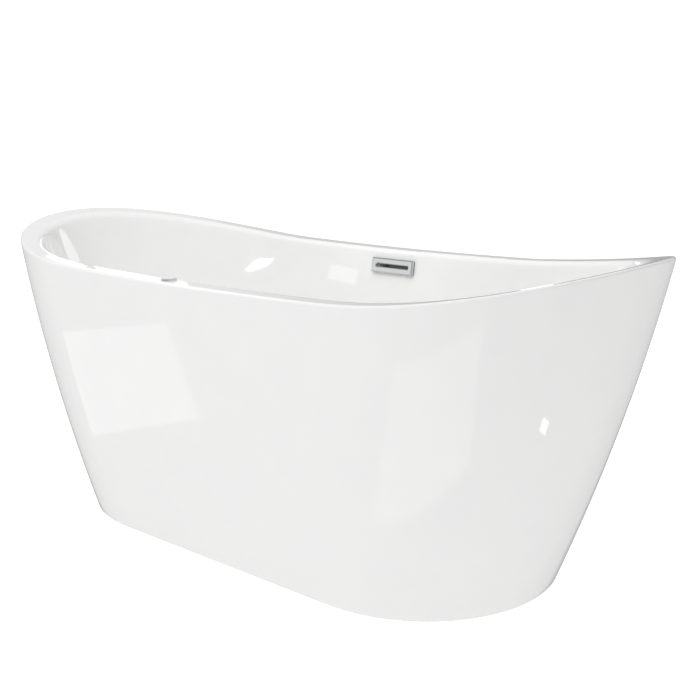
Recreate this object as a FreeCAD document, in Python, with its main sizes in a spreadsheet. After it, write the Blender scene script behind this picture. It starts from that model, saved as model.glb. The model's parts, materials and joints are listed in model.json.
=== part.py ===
"""Freestanding double-slipper bathtub, built as a parametric document.

Millimetres. X runs along the tub's length, Y across it (the overflow is on the +Y side) and Z up.
The origin is on the floor, under the middle of the tub.
"""
import FreeCAD, Part
import math
import os
import re

import Sketcher

Vector = FreeCAD.Vector
X_AXIS, Z_AXIS = Vector(1, 0, 0), Vector(0, 0, 1)

# Driving dimensions, each written once. The name is the cell's alias.
SIZES = {
    # Outer form
    "tub_length": 1700,          # of the form at its top plane, above the crests
    "tub_width": 790,            # of the form at its top plane
    "end_height": 722,           # the dip's height at the ends of the form
    "mid_height": 637,           # rim crest at the middle of the long sides
    "base_length": 1272,
    "base_width": 624,
    "wall_bow": 16,              # how far the skirt bulges outwards at half height
    "floor_gap": 3,              # skirt's lower edge above the floor
    "saddle_flat": 666,          # length of the shallow middle arc of the rim's dip
    "saddle_margin": 60,         # how far a trim runs on past the tub's ends
    "saddle_reach": 200,         # and how far above the crest
    "saddle_radius": 13760,      # radius of that arc
    "form_head": 6,              # how far the form runs on above the highest crest
    # Skirt
    "skirt_wall": 5,
    "skirt_flange": 10,          # bonding flange inside the skirt's top edge
    "skirt_return": 30,          # turned-in foot of the skirt
    # Basin
    "rim_band": 44,              # level width of the rim
    "rim_thick": 10,
    "rim_bond_thick": 2,
    "rim_outer_round": 7,
    "rim_inner_round": 16,
    "rim_notch_clear": 4,        # round the rim button's sleeve, below the rim
    "rim_notch_spare": 8,        # how far a notch cuts past the dip's slope
    "bond_inset": 1,             # from the adhesive's edges to the flange's
    "basin_wall": 8,             # acrylic sheet and its glass-fibre backing
    "basin_floor": 165,          # inside floor above the room's floor
    "basin_length": 1120,        # inside, at the floor
    "basin_width": 460,
    "basin_bow": 10,
    "basin_round": 60,           # between the floor and the walls, inside
    # Board and frame
    "board_length": 980,
    "board_width": 340,
    "board_thick": 15,
    "board_hole": 104,           # diameter round the waste
    "rail_length": 900,
    "rail_size": 30,
    "rail_wall": 2,
    "rail_y": 150,
    "cross_x": 300,
    # Levelling feet
    "foot_x": 400,
    "stem_dia": 12,
    "stem_length": 124,
    "pad_dia": 50,
    "pivot_dia": 8,              # the stem's foot, which turns in the pad
    "pivot_depth": 5,
    "pad_thick": 8,
    "pad_edge": 1,
    "stem_clear": 0.5,           # radial, where a stem passes a rail's wall
    "collar_flats": 19,
    "collar_thick": 9,
    "weld_nut_thick": 12,
    "lock_nut_thick": 8,
    "foot_nut_flats": 19,
    "thread_clear": 0.05,        # radial, between a stem and its nuts
    # Skirt brackets and screws
    "bracket_x": 250,
    "bracket_width": 40,
    "bracket_thick": 3,
    "bracket_reach": 22,         # how far the bracket lies over the skirt's foot
    "screw_dia": 5,
    "screw_head": 9,
    "screw_head_thick": 3,
    "screw_clear": 0.1,
    "screw_root": 0.5,           # how far a shank runs up into its head
    "foot_screw_short": 1,       # from a skirt screw's end to the foot's underside
    "rail_screw_bite": 3,
    "board_screw_x": 210,
    "board_screw_bite": 10,
    # Overflow
    "overflow_z": 595,
    "cover_width": 130,
    "cover_height": 38,
    "cover_depth": 7,
    "cover_wall": 3,
    "cover_edge": 1.5,
    "slot_width": 103,
    "slot_height": 9,
    "slot_bevel": 2,             # round the slot's mouth
    "window_width": 100,
    "window_height": 20,
    "gasket_thick": 2.5,
    "gasket_inset": 0.5,         # from the cover's edge
    "gasket_side": 9,            # from the cover's ends to the gasket's opening
    "gasket_clear": 3,           # above and below the window
    "seat_clear": 0.3,
    "housing_depth": 34,
    "housing_wall": 3,
    "housing_inset": 2,          # from the cover's outline to the housing's flange
    "spigot_root": 1,            # how far the spigot runs up into the chamber's wall
    "pipe_wall": 2.8,
    "pipe_slip": 0.2,            # radial, between the pipe and a spigot
    "pipe_grip": 26,             # how far the pipe goes over a spigot
    "pipe_run": 60,              # straight run below the overflow
    "pipe_bend": 90,             # radius of the pipe's bends
    "pipe_low_y": 288,           # where the pipe turns in below the basin
    "spigot_dia": 28,
    "spigot_wall": 3,
    "spigot_length": 32,
    "collar_width": 14,
    "collar_wall": 2.5,
    "collar_back": 6,            # from a spigot's end to its collar
    # Waste
    "waste_hole": 52,
    "flange_dia": 70,
    "flange_thick": 3,
    "tail_dia": 48,
    "tail_wall": 3,
    "tail_length": 50,
    "seal_thick": 1.5,
    "lower_seal_thick": 3,
    "waste_nut_thick": 12,
    "waste_nut_dia": 70,
    "waste_nut_inset": 3,        # from the seal's outside to the nut's flats
    "flange_edge": 1,
    "seal_inset": 2,             # from the flange's edge to its seal
    "seal_clear": 0.5,           # radial, round the tail
    "lower_seal_clear": 0.1,
    "lower_seal_spare": 1,       # radial, past the nut
    "tee_dia": 58,
    "tee_top": 138,
    "tee_bottom": 60,
    "tee_shoulder": 6,           # rise of the taper down to the outlet
    "tee_bore_drop": 2,          # how far the inside's taper lies from the outside's
    "tee_spare": 1,              # round and below the tail
    "outlet_dia": 44,
    "outlet_length": 15,
    "stub_z": 88,
    "stub_reach": 70,
    "tailpiece_dia": 40,
    "tailpiece_wall": 3,
    "tailpiece_step": 1,         # radial, by which its gripped end is slimmer
    "tailpiece_bottom": 12,
    "tailpiece_grip": 12,        # how far it stands in the outlet
    "slip_clear": 0.1,
    "outlet_nut_dia": 54,
    "outlet_nut_length": 17,
    "outlet_nut_wall": 3,
    "outlet_nut_gap": 3,         # below the tee's shoulder
    # Plug
    "plug_dia": 62,
    "plug_thick": 5.5,
    "plug_edge": 1,
    "plug_crown": 2.5,           # rise of the plug's domed top
    "plug_shoulder": 3,          # width of the slope at its edge
    "plug_dome": 0.6,            # rise from that slope to the middle
    "plug_seal_dia": 52,
    "plug_seal_thick": 2.5,
    "plug_stem_dia": 8,
    "plug_stem_length": 60,
    "hub_dia": 15,
    "hub_length": 12,
    "spoke_width": 3,
    # Rim button
    "button_x": 66,              # from the middle, towards -X
    "button_inset": 28,          # from the rim's outer edge to the button's centre
    "bezel_dia": 33,
    "bezel_height": 4,
    "bezel_seat": 0.1,           # the rim's dip rises this much across the bezel
    "bezel_edge": 0.8,
    "button_dia": 24.4,
    "button_gap": 0.3,
    "button_head": 2,
    "button_spare": 0.4,         # left below the head at the end of its travel
    "button_edge": 0.5,
    "sleeve_floor": 3,
    "button_proud": 0.4,
    "button_travel": 3.5,
    "button_stem_dia": 17.8,
    "button_stem_length": 20,
    "housing_bore": 18,
    "housing_tube": 22,
    "housing_neck": 28,
    "button_housing_length": 45,
    "button_nut_thick": 8,
    "button_nut_flats": 27,
    "button_washer_thick": 2,
    "washer_clear": 0.2,         # radial, round the sleeve
    "washer_spare": 2,           # radial, past the nut's flats
    # Cable gland
    "cable_dia": 5,
    "cable_slip": 0.1,           # radial, where a cable would pass
    "boss_dia": 18,
    "boss_reach": 38,            # from the waste's axis to the boss's end
    "gland_dia": 18,
    "gland_length": 16,
}

# Formulas that several pieces share, written with the aliases above.
HALF_LENGTH = "tub_length / 2"
TOP_PLANE = "end_height + form_head"
BOARD_TOP = "basin_floor - basin_wall"
RAIL_TOP = f"{BOARD_TOP} - board_thick"
RAIL_BOTTOM = f"{RAIL_TOP} - rail_size"
RETURN_TOP = "floor_gap + skirt_wall"
FLANGE_BOTTOM = "basin_floor + seal_thick"
FLANGE_TOP = f"{FLANGE_BOTTOM} + flange_thick"
TAIL_BOTTOM = f"{FLANGE_BOTTOM} - tail_length"
LOWER_SEAL_BOTTOM = f"{BOARD_TOP} - lower_seal_thick"
PLUG_SEAL_BOTTOM = f"{FLANGE_TOP} + seat_clear"
PLUG_BOTTOM = f"{PLUG_SEAL_BOTTOM} + plug_seal_thick"
SKIRT_DROP = "rim_thick + rim_bond_thick"
SKIRT_SCREW_Y = "base_width / 2 - skirt_wall - skirt_return + bracket_reach / 2"
STEM_FOOT = "pad_thick + seat_clear"
OUTLET_NUT_TOP = "tee_bottom - outlet_nut_gap"
GRIPPED = "(tailpiece_dia / 2 - tailpiece_step)"
COVER_BACK = "seat_clear + gasket_thick"
HOUSING_FRONT = "basin_wall + seat_clear"
SPIGOT_Y = f"{HOUSING_FRONT} + housing_wall + housing_depth / 2"
CHAMBER_HALF = "window_height / 2 + housing_wall"
NOTCH_DIA = "housing_neck + 2 * rim_notch_clear"

# The share of the full height at which each section of a form lies.
FORM_SHARES = (0, 0.5, 1)
CORNERS = [(-1, -1), (1, -1), (1, 1), (-1, 1)]
CORNER_NAMES = ["front_left", "front_right", "back_right", "back_left"]

doc = FreeCAD.newDocument("bathtub")
sheet = doc.addObject("Spreadsheet::Sheet", "dims")
for row, (alias, size) in enumerate(SIZES.items(), start=1):
    sheet.set(f"A{row}", alias)
    sheet.set(f"B{row}", str(size))
    sheet.setAlias(f"B{row}", alias)
doc.recompute()

pieces = []


# ---------------------------------------------------------------- sheet and placing


def bound(formula):
    """The formula with each alias written as a reference to the sheet."""
    def reference(word):
        return f"dims.{word.group()}" if word.group() in SIZES else word.group()
    return re.sub(r"[a-z_]+", reference, str(formula))


def number(formula):
    """The formula's present value."""
    return float(sheet.evalExpression(bound(formula)))


def bind(item, **formulas):
    """Bind each named property of an object to its formula."""
    for name, formula in formulas.items():
        item.setExpression(name, bound(formula))


def place(item, x=0, y=0, z=0, axis=Z_AXIS, angle=0):
    """Put an object at a place that follows the sheet, turned about one axis."""
    item.Placement = FreeCAD.Placement(Vector(0, 0, 0), FreeCAD.Rotation(axis, angle))
    for letter, formula in (("x", x), ("y", y), ("z", z)):
        item.setExpression(f".Placement.Base.{letter}", bound(formula))


def keep(item, label):
    """Name an object as a finished piece of the tub."""
    item.Label = label
    pieces.append(item)
    return item


# ---------------------------------------------------------------- sketches


def new_body(label):
    return keep(doc.addObject("PartDesign::Body", label), label)


def plane(body, role):
    return next(item for item in body.Origin.OriginFeatures if item.Role == role)


def sketch_on(body, name, role="XY_Plane", offset=0):
    """A sketch on one of the body's own planes, moved along the plane's normal."""
    sketch = body.newObject("Sketcher::SketchObject", name)
    sketch.AttachmentSupport = (plane(body, role), "")
    sketch.MapMode = "FlatFace"
    sketch.setExpression(".AttachmentOffset.Base.z", bound(offset))
    return sketch


def dimension(sketch, kind, formula, *where):
    """Add a dimension and bind it to its formula."""
    index = sketch.addConstraint(Sketcher.Constraint(kind, *where, number(formula)))
    sketch.setExpression(f"Constraints[{index}]", bound(formula))


def link(sketch, kind, *where):
    sketch.addConstraint(Sketcher.Constraint(kind, *where))


def polygon(sketch, corners):
    """A closed outline through corners given as pairs of formulas."""
    points = [Vector(number(across), number(up), 0) for across, up in corners]
    first = sketch.GeometryCount
    count = len(points)
    for step in range(count):
        sketch.addGeometry(Part.LineSegment(points[step], points[(step + 1) % count]), False)
    for step in range(count):
        link(sketch, "Coincident", first + step, 2, first + (step + 1) % count, 1)
    for step, (across, up) in enumerate(corners):
        dimension(sketch, "DistanceX", across, -1, 1, first + step, 1)
        dimension(sketch, "DistanceY", up, -1, 1, first + step, 1)
    return sketch


def circle(sketch, diameter, across=0, up=0):
    centre = Vector(number(across), number(up), 0)
    index = sketch.addGeometry(Part.Circle(centre, Z_AXIS, number(diameter) / 2), False)
    dimension(sketch, "Diameter", diameter, index)
    dimension(sketch, "DistanceX", across, -1, 1, index, 3)
    dimension(sketch, "DistanceY", up, -1, 1, index, 3)
    return sketch


def slot(sketch, width, height, up=0):
    """Two level sides and two round ends, centred on the sketch's upright axis."""
    half = (number(width) - number(height)) / 2
    radius = number(height) / 2
    middle = number(up)
    quarter = math.pi / 2
    right_end = Part.Circle(Vector(half, middle, 0), Z_AXIS, radius)
    left_end = Part.Circle(Vector(-half, middle, 0), Z_AXIS, radius)
    shapes = [
        Part.ArcOfCircle(right_end, -quarter, quarter),
        Part.LineSegment(Vector(half, middle + radius, 0), Vector(-half, middle + radius, 0)),
        Part.ArcOfCircle(left_end, quarter, 3 * quarter),
        Part.LineSegment(Vector(-half, middle - radius, 0), Vector(half, middle - radius, 0)),
    ]
    ids = [sketch.addGeometry(shape, False) for shape in shapes]
    right, top, left, bottom = ids
    for step in range(4):
        link(sketch, "Tangent", ids[step], 2, ids[(step + 1) % 4], 1)
    link(sketch, "Horizontal", top)
    dimension(sketch, "DistanceY", up, -1, 1, right, 3)
    dimension(sketch, "Radius", f"({height}) / 2", right)
    dimension(sketch, "DistanceX", f"(({width}) - ({height})) / 2", -1, 1, right, 3)
    dimension(sketch, "DistanceX", f"-(({width}) - ({height})) / 2", -1, 1, left, 3)
    return sketch


def saddle(sketch, drop, above):
    """The region above, or below, the rim's dip, lowered by a drop.

    The dip is a shallow middle arc with a steeper arc at each end, all tangent.
    """
    half, end_up = number(HALF_LENGTH), number(f"end_height - ({drop})")
    low = number(f"mid_height - ({drop})")
    radius = number("saddle_radius")
    lean, middle_of_end, end_radius = dip()
    centre = Vector(middle_of_end.x, middle_of_end.z - number(drop), 0)
    finish = math.atan2(end_up - centre.y, half - centre.x)
    margin = number("saddle_margin")
    slope = Vector(-math.sin(finish), math.cos(finish), 0)
    corner = Vector(half, end_up, 0) + slope * (margin / slope.x)
    level = corner.y + number("saddle_reach") if above else low - 2 * end_up

    def mirrored(point):
        return Vector(-point.x, point.y, 0)

    middle_circle = Part.Circle(Vector(0, low + radius, 0), Z_AXIS, radius)
    down = -math.pi / 2
    shapes = [
        Part.ArcOfCircle(middle_circle, down - lean, down + lean),
        Part.ArcOfCircle(Part.Circle(centre, Z_AXIS, end_radius), down + lean, finish),
        Part.LineSegment(Vector(half, end_up, 0), corner),
        Part.LineSegment(corner, Vector(corner.x, level, 0)),
        Part.LineSegment(Vector(corner.x, level, 0), Vector(-corner.x, level, 0)),
        Part.LineSegment(Vector(-corner.x, level, 0), mirrored(corner)),
        Part.LineSegment(mirrored(corner), Vector(-half, end_up, 0)),
        Part.ArcOfCircle(Part.Circle(mirrored(centre), Z_AXIS, end_radius),
                         math.pi - finish, down - lean),
    ]
    ids = [sketch.addGeometry(shape, False) for shape in shapes]
    middle, right, right_run, right_side, far, left_side, left_run, left = ids
    link(sketch, "Tangent", middle, 2, right, 1)
    link(sketch, "Tangent", right, 2, right_run, 1)
    link(sketch, "Coincident", right_run, 2, right_side, 1)
    link(sketch, "Coincident", right_side, 2, far, 1)
    link(sketch, "Coincident", far, 2, left_side, 1)
    link(sketch, "Coincident", left_side, 2, left_run, 1)
    link(sketch, "Tangent", left_run, 2, left, 1)
    link(sketch, "Tangent", left, 2, middle, 1)
    link(sketch, "PointOnObject", middle, 3, -2)
    link(sketch, "Symmetric", middle, 1, middle, 2, -2)
    link(sketch, "Vertical", right_side)
    link(sketch, "Vertical", left_side)
    link(sketch, "Horizontal", far)
    dimension(sketch, "Radius", "saddle_radius", middle)
    dimension(sketch, "DistanceX", "saddle_flat", middle, 1, middle, 2)
    dimension(sketch, "DistanceY", f"mid_height - ({drop}) + saddle_radius", -1, 1, middle, 3)
    for end, point, sign in ((right, 2, ""), (left, 1, "-")):
        dimension(sketch, "DistanceX", f"{sign}({HALF_LENGTH})", -1, 1, end, point)
        dimension(sketch, "DistanceY", f"end_height - ({drop})", -1, 1, end, point)
    dimension(sketch, "DistanceX", "saddle_margin", right_run, 1, right_run, 2)
    dimension(sketch, "DistanceX", "saddle_margin", left_run, 1, left_run, 2)
    dimension(sketch, "DistanceY", str(level), -1, 1, far, 1)
    return sketch


# ---------------------------------------------------------------- features


def pad(body, sketch, length, backwards=False):
    feature = body.newObject("PartDesign::Pad", f"{sketch.Name}_pad")
    feature.Profile = sketch
    feature.Reversed = backwards
    bind(feature, Length=length)
    sketch.Visibility = False
    return feature


def pocket(body, sketch, length, backwards=False, both_ways=False):
    feature = body.newObject("PartDesign::Pocket", f"{sketch.Name}_pocket")
    feature.Profile = sketch
    feature.Reversed = backwards
    if both_ways:
        feature.SideType = "Symmetric"
    bind(feature, Length=length)
    return feature


def turn(body, sketch, cut=False):
    """Spin a sketch on the upright plane about the body's Z axis."""
    kind = "Groove" if cut else "Revolution"
    feature = body.newObject(f"PartDesign::{kind}", f"{sketch.Name}_{kind.lower()}")
    feature.Profile = sketch
    feature.ReferenceAxis = (sketch, ["V_Axis"])
    feature.Angle = 360
    return feature


def loft(body, sketches, cut=False):
    kind = "SubtractiveLoft" if cut else "AdditiveLoft"
    feature = body.newObject(f"PartDesign::{kind}", f"{sketches[0].Name}_loft")
    feature.Profile = sketches[0]
    feature.Sections = sketches[1:]
    return feature


def trim(body, name, drop, above):
    """Cut away all that stands above, or hangs below, the rim's dip."""
    sketch = saddle(sketch_on(body, name, "XZ_Plane"), drop, above)
    return pocket(body, sketch, "2 * tub_width", both_ways=True)


def turned(label, outline, hollow=None):
    """A body turned about Z from an outline of (radius, height) formulas."""
    body = new_body(label)
    turn(body, polygon(sketch_on(body, f"{label}_outline", "XZ_Plane"), outline))
    if hollow:
        turn(body, polygon(sketch_on(body, f"{label}_hollow", "XZ_Plane"), hollow), cut=True)
    return body


def ring_outline(inner, outer, bottom, top):
    """A ring's section: radii as diameters' halves, and two heights."""
    inside, outside = f"({inner}) / 2", f"({outer}) / 2"
    return [(inside, bottom), (outside, bottom), (outside, top), (inside, top)]


def cylinder(name, diameter, height):
    item = doc.addObject("Part::Cylinder", name)
    bind(item, Radius=f"({diameter}) / 2", Height=height)
    return item


def box(name, length, width, height):
    item = doc.addObject("Part::Box", name)
    bind(item, Length=length, Width=width, Height=height)
    return item


def hexagon(name, flats, height):
    item = doc.addObject("Part::Prism", name)
    item.Polygon = 6
    bind(item, Circumradius=f"({flats}) / 2 / cos(30)", Height=height)
    return item


def cut(name, base, tool):
    item = doc.addObject("Part::Cut", name)
    item.Base = base
    item.Tool = tool
    return item


def join(name, shapes):
    item = doc.addObject("Part::MultiFuse", name)
    item.Shapes = shapes
    return item


def group(label, items):
    """Separate pieces that share one node."""
    item = doc.addObject("Part::Compound", label)
    item.Links = items
    return keep(item, label)


# ---------------------------------------------------------------- the tub's form


def outer_outline(sketch, share, inset):
    """The skirt's outline at a share of the height, moved inwards by an inset.

    Each long side is straight and each end is a half circle.
    """
    def between(low, high):
        return f"({low}) * {1 - share} + ({high}) * {share}"
    grow = f"wall_bow * {8 * share * (1 - share)} - 2 * ({inset})"
    return slot(sketch, f"{between('base_length', 'tub_length')} + {grow}",
                f"{between('base_width', 'tub_width')} + {grow}")


def outer_sections(body, name, *insets):
    """Sections of the outer form, each with one outline for each inset."""
    sketches = []
    for share in FORM_SHARES:
        level = f"floor_gap + (({TOP_PLANE}) - floor_gap) * {share}"
        sketch = sketch_on(body, f"{name}_{int(100 * share)}", "XY_Plane", level)
        for inset in insets:
            outer_outline(sketch, share, inset)
        sketches.append(sketch)
    return sketches


def basin_outline(sketch, share, outset):
    """The basin's inside at a share of its depth, moved outwards by an outset."""
    def between(low, high):
        return f"({low}) * {1 - share} + ({high}) * {share}"
    grow = f"basin_bow * {8 * share * (1 - share)} + 2 * ({outset})"
    return slot(sketch, f"{between('basin_length', 'tub_length - 2 * rim_band')} + {grow}",
                f"{between('basin_width', 'tub_width - 2 * rim_band')} + {grow}")


def basin_sections(body, name, outset, bottom):
    """Sections of the basin, from a bottom height up to the form's top plane."""
    sketches = []
    for share in FORM_SHARES:
        level = f"({bottom}) + (({TOP_PLANE}) - ({bottom})) * {share}"
        sketch = sketch_on(body, f"{name}_{int(100 * share)}", "XY_Plane", level)
        sketches.append(basin_outline(sketch, share, outset))
    return sketches


def basin_wall_y(height):
    """Half the basin's inside width at a height, as a formula."""
    share = f"((({height}) - basin_floor) / (({TOP_PLANE}) - basin_floor))"
    spread = "(tub_width / 2 - rim_band - basin_width / 2)"
    return f"basin_width / 2 + {spread} * {share} + 4 * basin_bow * {share} * (1 - {share})"


def skirt_wall_y(height):
    """Half the skirt's outside width at a height, as a formula."""
    share = f"((({height}) - floor_gap) / (({TOP_PLANE}) - floor_gap))"
    spread = "((tub_width - base_width) / 2)"
    return f"base_width / 2 + {spread} * {share} + 4 * wall_bow * {share} * (1 - {share})"


def wall_lean(wall_y, height):
    """The wall's lean from upright at a height, in degrees."""
    rise = 1
    run = number(wall_y(f"({height}) + {rise}")) - number(wall_y(f"({height}) - {rise}"))
    return math.degrees(math.atan2(run, 2 * rise))


BUTTON_RIM = "mid_height + button_x ^ 2 / (2 * saddle_radius)"
BUTTON_Y = f"-({skirt_wall_y('mid_height')} - button_inset)"


def dip():
    """The dip's two arcs: the middle one's lean at its end, and the end one's centre and radius."""
    flat, radius = number("saddle_flat") / 2, number("saddle_radius")
    lean = math.asin(flat / radius)
    start_up = number("mid_height") + radius - radius * math.cos(lean)
    over, up = number(HALF_LENGTH) - flat, number("end_height") - start_up
    end_radius = (over ** 2 + up ** 2) / (2 * (up * math.cos(lean) - over * math.sin(lean)))
    centre = Vector(flat - end_radius * math.sin(lean), 0,
                    start_up + end_radius * math.cos(lean))
    return lean, centre, end_radius


def on_crest(at):
    """Whether a point lies on the rim's crest."""
    lean, centre, end_radius = dip()
    across = abs(at.x)
    if across < number("saddle_flat") / 2:
        radius = number("saddle_radius")
        height = number("mid_height") + radius - math.sqrt(radius ** 2 - across ** 2)
    else:
        height = centre.z - math.sqrt(end_radius ** 2 - (across - centre.x) ** 2)
    return abs(at.z - height) < 0.2


def edges_near(shape, test):
    """Names of the edges whose middle passes a test."""
    names = []
    for index, edge in enumerate(shape.Edges, start=1):
        middle = edge.valueAt((edge.FirstParameter + edge.LastParameter) / 2)
        if test(edge, middle):
            names.append(f"Edge{index}")
    return names


def round_edges(body, name, radius, test):
    doc.recompute()
    base = body.Tip
    feature = body.newObject("PartDesign::Fillet", name)
    feature.Base = (base, edges_near(base.Shape, test))
    bind(feature, Radius=radius)
    return feature


# ---------------------------------------------------------------- shells


def outer_skirt():
    body = new_body("outer_skirt")
    loft(body, outer_sections(body, "skirt_top", "0", "skirt_wall + skirt_flange"))
    trim(body, "skirt_flange_under", f"{SKIRT_DROP} + skirt_wall", above=False)
    loft(body, outer_sections(body, "skirt_wall_form", "0", "skirt_wall"))
    foot = sketch_on(body, "skirt_foot", "XY_Plane", "floor_gap")
    outer_outline(foot, 0, "skirt_wall / 2")
    outer_outline(foot, 0, "skirt_wall + skirt_return")
    pad(body, foot, "skirt_wall")
    trim(body, "skirt_edge", SKIRT_DROP, above=True)
    notch = circle(sketch_on(body, "button_notch", "XY_Plane", "mid_height"),
                   NOTCH_DIA, "-button_x", BUTTON_Y)
    pocket(body, notch, f"{SKIRT_DROP} + skirt_wall + rim_notch_spare")
    holes = sketch_on(body, "foot_screw_holes", "XY_Plane", RETURN_TOP)
    for side_x in ("", "-"):
        for side_y in ("", "-"):
            circle(holes, "screw_dia + 2 * screw_clear", f"{side_x}bracket_x",
                   f"{side_y}({SKIRT_SCREW_Y})")
    pocket(body, holes, "skirt_wall * 2")
    return body


def inner_basin():
    body = new_body("inner_basin")
    loft(body, outer_sections(body, "rim_form", "0"))
    trim(body, "rim_under", "rim_thick", above=False)
    loft(body, basin_sections(body, "basin_outside", "basin_wall", BOARD_TOP))
    trim(body, "rim_crest", "0", above=True)
    loft(body, basin_sections(body, "basin_inside", "0", "basin_floor"), cut=True)
    floor = number("basin_floor")
    under = number(BOARD_TOP)
    round_edges(body, "floor_round", "basin_round",
                lambda edge, at: abs(at.z - floor) < 0.5 and abs(edge.BoundBox.ZLength) < 0.5)
    round_edges(body, "floor_round_under", "basin_round + basin_wall",
                lambda edge, at: abs(at.z - under) < 0.5 and abs(edge.BoundBox.ZLength) < 0.5)
    on_rim_edge = number("rim_band") / 2

    def outside(at):
        return (abs(at.x) > number(HALF_LENGTH) - on_rim_edge
                or abs(at.y) > number("tub_width") / 2 - on_rim_edge)

    round_edges(body, "rim_inner_edge", "rim_inner_round",
                lambda edge, at: on_crest(at) and not outside(at))
    round_edges(body, "rim_outer_edge", "rim_outer_round",
                lambda edge, at: on_crest(at) and outside(at))
    drain = circle(sketch_on(body, "drain_hole", "XY_Plane", "basin_floor + 1"), "waste_hole")
    pocket(body, drain, "basin_wall + 2")
    window = slot(sketch_on(body, "overflow_window", "XZ_Plane", "-tub_width / 2 + rim_band * 2"),
                  "window_width", "window_height", "overflow_z")
    pocket(body, window, "rim_band * 2", backwards=False)
    button = circle(sketch_on(body, "button_hole", "XY_Plane", "end_height"),
                    "housing_neck + 2 * seat_clear", "-button_x", BUTTON_Y)
    pocket(body, button, "end_height - mid_height + 2 * rim_thick")
    return body


def rim_bond():
    body = new_body("rim_bond")
    loft(body, outer_sections(body, "bond_form", "bond_inset",
                              "skirt_wall + skirt_flange - bond_inset"))
    trim(body, "bond_under", SKIRT_DROP, above=False)
    trim(body, "bond_top", "rim_thick", above=True)
    notch = circle(sketch_on(body, "bond_notch", "XY_Plane", "mid_height"),
                   NOTCH_DIA, "-button_x", BUTTON_Y)
    pocket(body, notch, f"{SKIRT_DROP} + rim_notch_spare")
    return body


# ---------------------------------------------------------------- board and frame


def floor_board():
    body = new_body("floor_board")
    outline = sketch_on(body, "board_outline", "XY_Plane", RAIL_TOP)
    half_x, half_y = "board_length / 2", "board_width / 2"
    polygon(outline, [(f"-{half_x}", f"-{half_y}"), (half_x, f"-{half_y}"),
                      (half_x, half_y), (f"-{half_x}", half_y)])
    circle(outline, "board_hole")
    for side_x, side_y in CORNERS:
        circle(outline, "screw_dia", f"{side_x} * board_screw_x", f"{side_y} * rail_y")
    pad(body, outline, "board_thick")
    return body


def square(sketch, side, across, up):
    """A square centred on a point."""
    half = f"({side}) / 2"
    return polygon(sketch, [(f"{across} - {half}", f"{up} - {half}"),
                            (f"{across} + {half}", f"{up} - {half}"),
                            (f"{across} + {half}", f"{up} + {half}"),
                            (f"{across} - {half}", f"{up} + {half}")])


def frame_rail(label, side):
    """A long square tube, with holes for two stems, two board screws and two bracket screws."""
    body = new_body(label)
    middle_y, middle_z = f"{side} * rail_y", f"{RAIL_TOP} - rail_size / 2"
    end = sketch_on(body, f"{label}_section", "YZ_Plane", "-rail_length / 2")
    square(end, "rail_size", middle_y, middle_z)
    square(end, "rail_size - 2 * rail_wall", middle_y, middle_z)
    pad(body, end, "rail_length")
    stems = sketch_on(body, f"{label}_stem_holes", "XY_Plane", f"{RAIL_BOTTOM} + rail_wall")
    screws = sketch_on(body, f"{label}_board_holes", "XY_Plane", RAIL_TOP)
    sides = sketch_on(body, f"{label}_bracket_holes", "XZ_Plane",
                      f"{-side} * (rail_y + rail_size / 2)")
    for end_x in (-1, 1):
        circle(stems, "stem_dia + 2 * stem_clear", f"{end_x} * foot_x", middle_y)
        circle(screws, "screw_dia + 2 * screw_clear", f"{end_x} * board_screw_x", middle_y)
        circle(sides, "screw_dia + 2 * screw_clear", f"{end_x} * bracket_x", middle_z)
    pocket(body, stems, "rail_wall * 2")
    pocket(body, screws, "rail_size")
    pocket(body, sides, "rail_wall * 2", backwards=side > 0)
    return body


def frame_cross(label, side):
    """A short square tube between the two rails."""
    body = new_body(label)
    start = sketch_on(body, f"{label}_section", "XZ_Plane", "-(rail_y - rail_size / 2)")
    for width in ("rail_size", "rail_size - 2 * rail_wall"):
        square(start, width, f"{side} * cross_x", f"{RAIL_TOP} - rail_size / 2")
    pad(body, start, "2 * rail_y - rail_size")
    return body


def skirt_bracket(label, side_x, side_y):
    """An L-shaped strip from a rail's outer side down to the skirt's foot."""
    body = new_body(label)
    inner, outer = "rail_y + rail_size / 2", f"{SKIRT_SCREW_Y} + bracket_reach / 2"
    top = f"{RAIL_TOP} - rail_size / 6"
    section = sketch_on(body, f"{label}_section", "YZ_Plane",
                        f"{side_x} * bracket_x - bracket_width / 2")
    corners = [(inner, RETURN_TOP), (outer, RETURN_TOP), (outer, f"{RETURN_TOP} + bracket_thick"),
               (f"{inner} + bracket_thick", f"{RETURN_TOP} + bracket_thick"),
               (f"{inner} + bracket_thick", top), (inner, top)]
    polygon(section, [(f"{side_y} * ({across})", up) for across, up in corners])
    pad(body, section, "bracket_width")
    foot = circle(sketch_on(body, f"{label}_foot_hole", "XY_Plane", f"{RETURN_TOP} + bracket_thick"),
                  "screw_dia + 2 * screw_clear", f"{side_x} * bracket_x",
                  f"{side_y} * ({SKIRT_SCREW_Y})")
    pocket(body, foot, "bracket_thick")
    side = circle(sketch_on(body, f"{label}_rail_hole", "XZ_Plane",
                            f"{-side_y} * ({inner} + bracket_thick)"),
                  "screw_dia + 2 * screw_clear", f"{side_x} * bracket_x",
                  f"{RAIL_TOP} - rail_size / 2")
    pocket(body, side, "bracket_thick", backwards=side_y > 0)
    return body


def screw(name, length):
    """A pan-head screw pointing down, its head's underside at its own origin."""
    head = cylinder(f"{name}_head", "screw_head", "screw_head_thick")
    shank = cylinder(f"{name}_shank", "screw_dia", f"{length} + screw_root")
    place(shank, z=f"-({length})")
    return join(name, [head, shank])


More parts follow.
